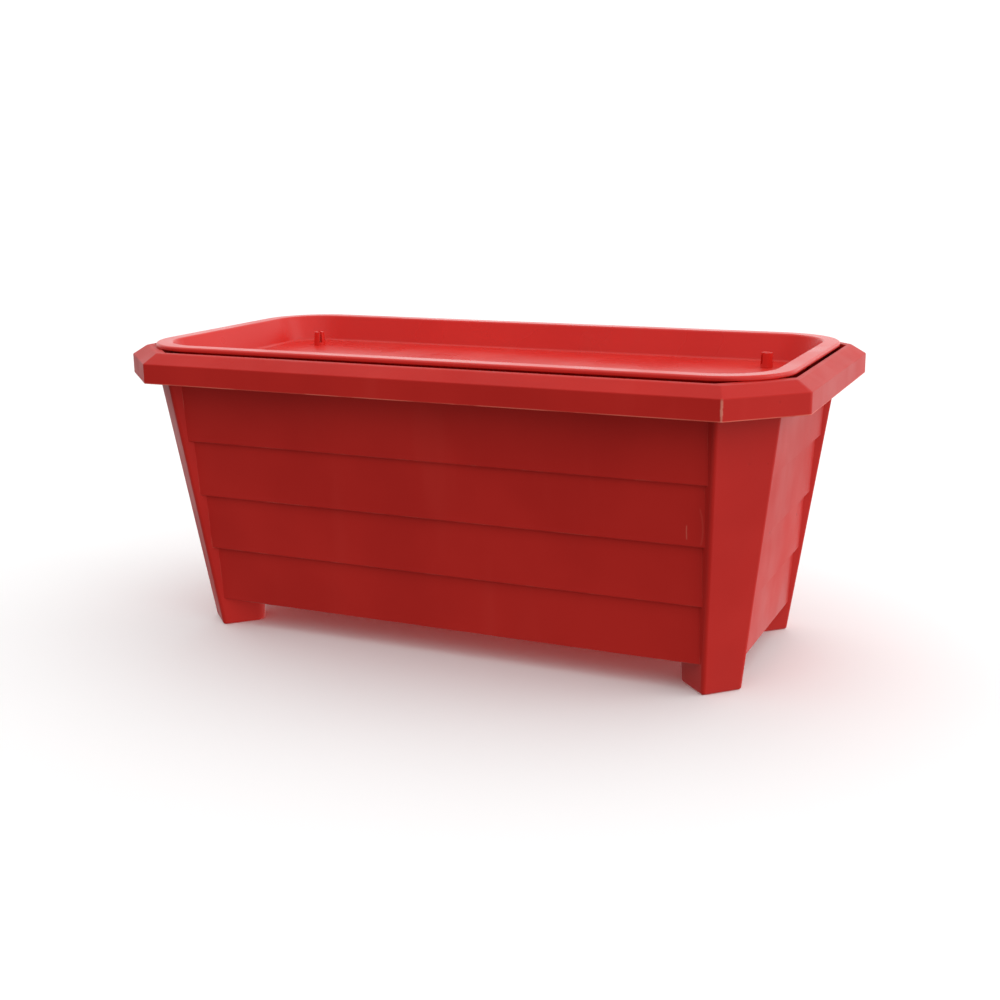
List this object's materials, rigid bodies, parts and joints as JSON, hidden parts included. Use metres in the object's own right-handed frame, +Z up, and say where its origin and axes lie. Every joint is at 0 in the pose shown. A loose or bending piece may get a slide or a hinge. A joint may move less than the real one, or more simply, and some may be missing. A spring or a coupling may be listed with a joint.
{
  "type": "self-watering trough planter",
  "caption": "Tapered trough planter with clapboard sides, corner posts and hollow feet, a skirted rim, a clip-on water tray stored in its mouth, and a wicking false floor.",
  "frame": {"origin": "on the floor at the feet's soles, under the middle of the planter", "axes": "+X along the trough, +Y from the front side to the back side, +Z up"},
  "size_m": [0.6, 0.32, 0.2563],
  "materials": {
    "planter_plastic": "satin moulded polypropylene, brick red",
    "tray_plastic": "semi-gloss moulded polypropylene, brick red",
    "grid_plastic": "satin moulded polypropylene, black",
    "cup_plastic": "satin moulded polypropylene, black",
    "wick_felt": "pressed grey felt"
  },
  "bodies": {
    "trough": {"planter_trough": "planter_plastic"},
    "tray": {"water_tray": "tray_plastic"},
    "grid": {"drainage_grid": "grid_plastic"},
    "cup_front_left": {"wick_cup_front_left": "cup_plastic", "foot_wick_front_left": "wick_felt"},
    "cup_front_right": {"wick_cup_front_right": "cup_plastic", "foot_wick_front_right": "wick_felt"},
    "cup_back_left": {"wick_cup_back_left": "cup_plastic", "foot_wick_back_left": "wick_felt"},
    "cup_back_right": {"wick_cup_back_right": "cup_plastic", "foot_wick_back_right": "wick_felt"}
  },
  "joints": [
    {"name": "tray_lift", "type": "slide", "parent": "trough", "child": "tray", "axis": [0, 0, 1], "range_m": [0, 0.15]},
    {"name": "grid_lift", "type": "slide", "parent": "trough", "child": "grid", "axis": [0, 0, 1], "range_m": [0, 0.12]},
    {"name": "cup_lift_front_left", "type": "slide", "parent": "grid", "child": "cup_front_left", "axis": [0, 0, 1], "range_m": [0, 0.05]},
    {"name": "cup_lift_front_right", "type": "slide", "parent": "grid", "child": "cup_front_right", "axis": [0, 0, 1], "range_m": [0, 0.05]},
    {"name": "cup_lift_back_left", "type": "slide", "parent": "grid", "child": "cup_back_left", "axis": [0, 0, 1], "range_m": [0, 0.05]},
    {"name": "cup_lift_back_right", "type": "slide", "parent": "grid", "child": "cup_back_right", "axis": [0, 0, 1], "range_m": [0, 0.05]}
  ]
}
